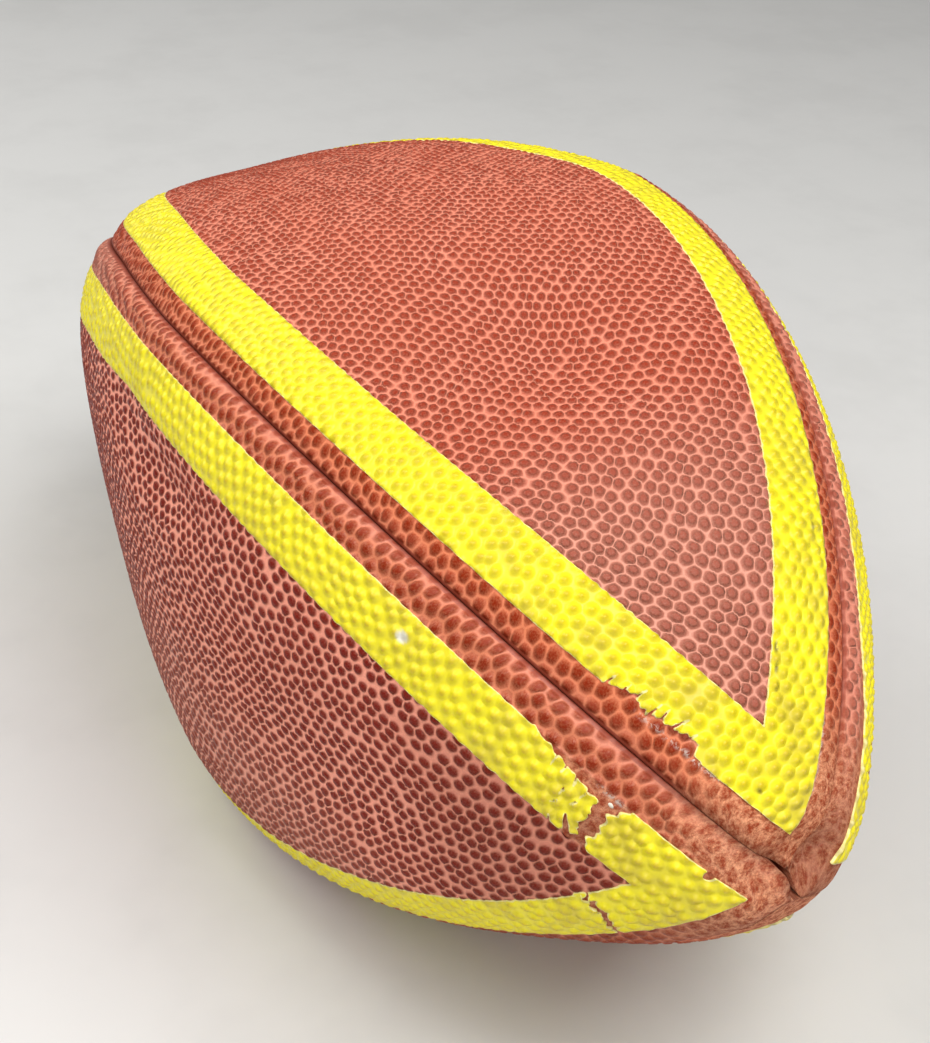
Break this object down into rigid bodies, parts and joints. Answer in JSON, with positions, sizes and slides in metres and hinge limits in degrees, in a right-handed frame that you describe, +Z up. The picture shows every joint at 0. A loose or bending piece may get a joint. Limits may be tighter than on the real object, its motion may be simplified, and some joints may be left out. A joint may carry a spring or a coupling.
{
  "type": "deflated football",
  "caption": "Slack sewn football lying on its underside: pebbled panels with sunken seams, worn stripe films peeling at one point, lacing and valve on the far side.",
  "frame": {"origin": "on the surface the ball rests on, under the middle of its length", "axes": "+X along the ball towards its worn point, +Z up, away from the surface it rests on"},
  "size_m": [0.2786, 0.1374, 0.1361],
  "materials": {
    "pebbled_skin": "red-brown composite leather with raised pebbles, worn satin",
    "stripe_film": "bright yellow film heat-pressed over the pebbles, half gloss, chipped at its edges",
    "valve_rubber": "moulded black rubber",
    "bladder_rubber": "dull dark butyl",
    "lace_cord": "off-white coated flat lace",
    "lining_cloth": "unbleached woven backing",
    "seam_thread": "waxed lockstitch thread"
  },
  "bodies": {
    "root": {"panel_top": "pebbled_skin", "panel_left": "pebbled_skin", "panel_bottom": "pebbled_skin", "panel_right": "pebbled_skin", "stripe_top": "stripe_film", "stripe_left": "stripe_film", "stripe_left_flake": "stripe_film", "stripe_right": "stripe_film", "stripe_bottom": "stripe_film", "bladder": "bladder_rubber", "valve": "valve_rubber", "lace": "lace_cord", "lace_lining": "lining_cloth", "seam_thread_top_left": "seam_thread", "seam_thread_top_right": "seam_thread", "seam_thread_bottom_left": "seam_thread", "seam_thread_bottom_right_near": "seam_thread", "seam_thread_bottom_right_far": "seam_thread"}
  },
  "joints": []
}
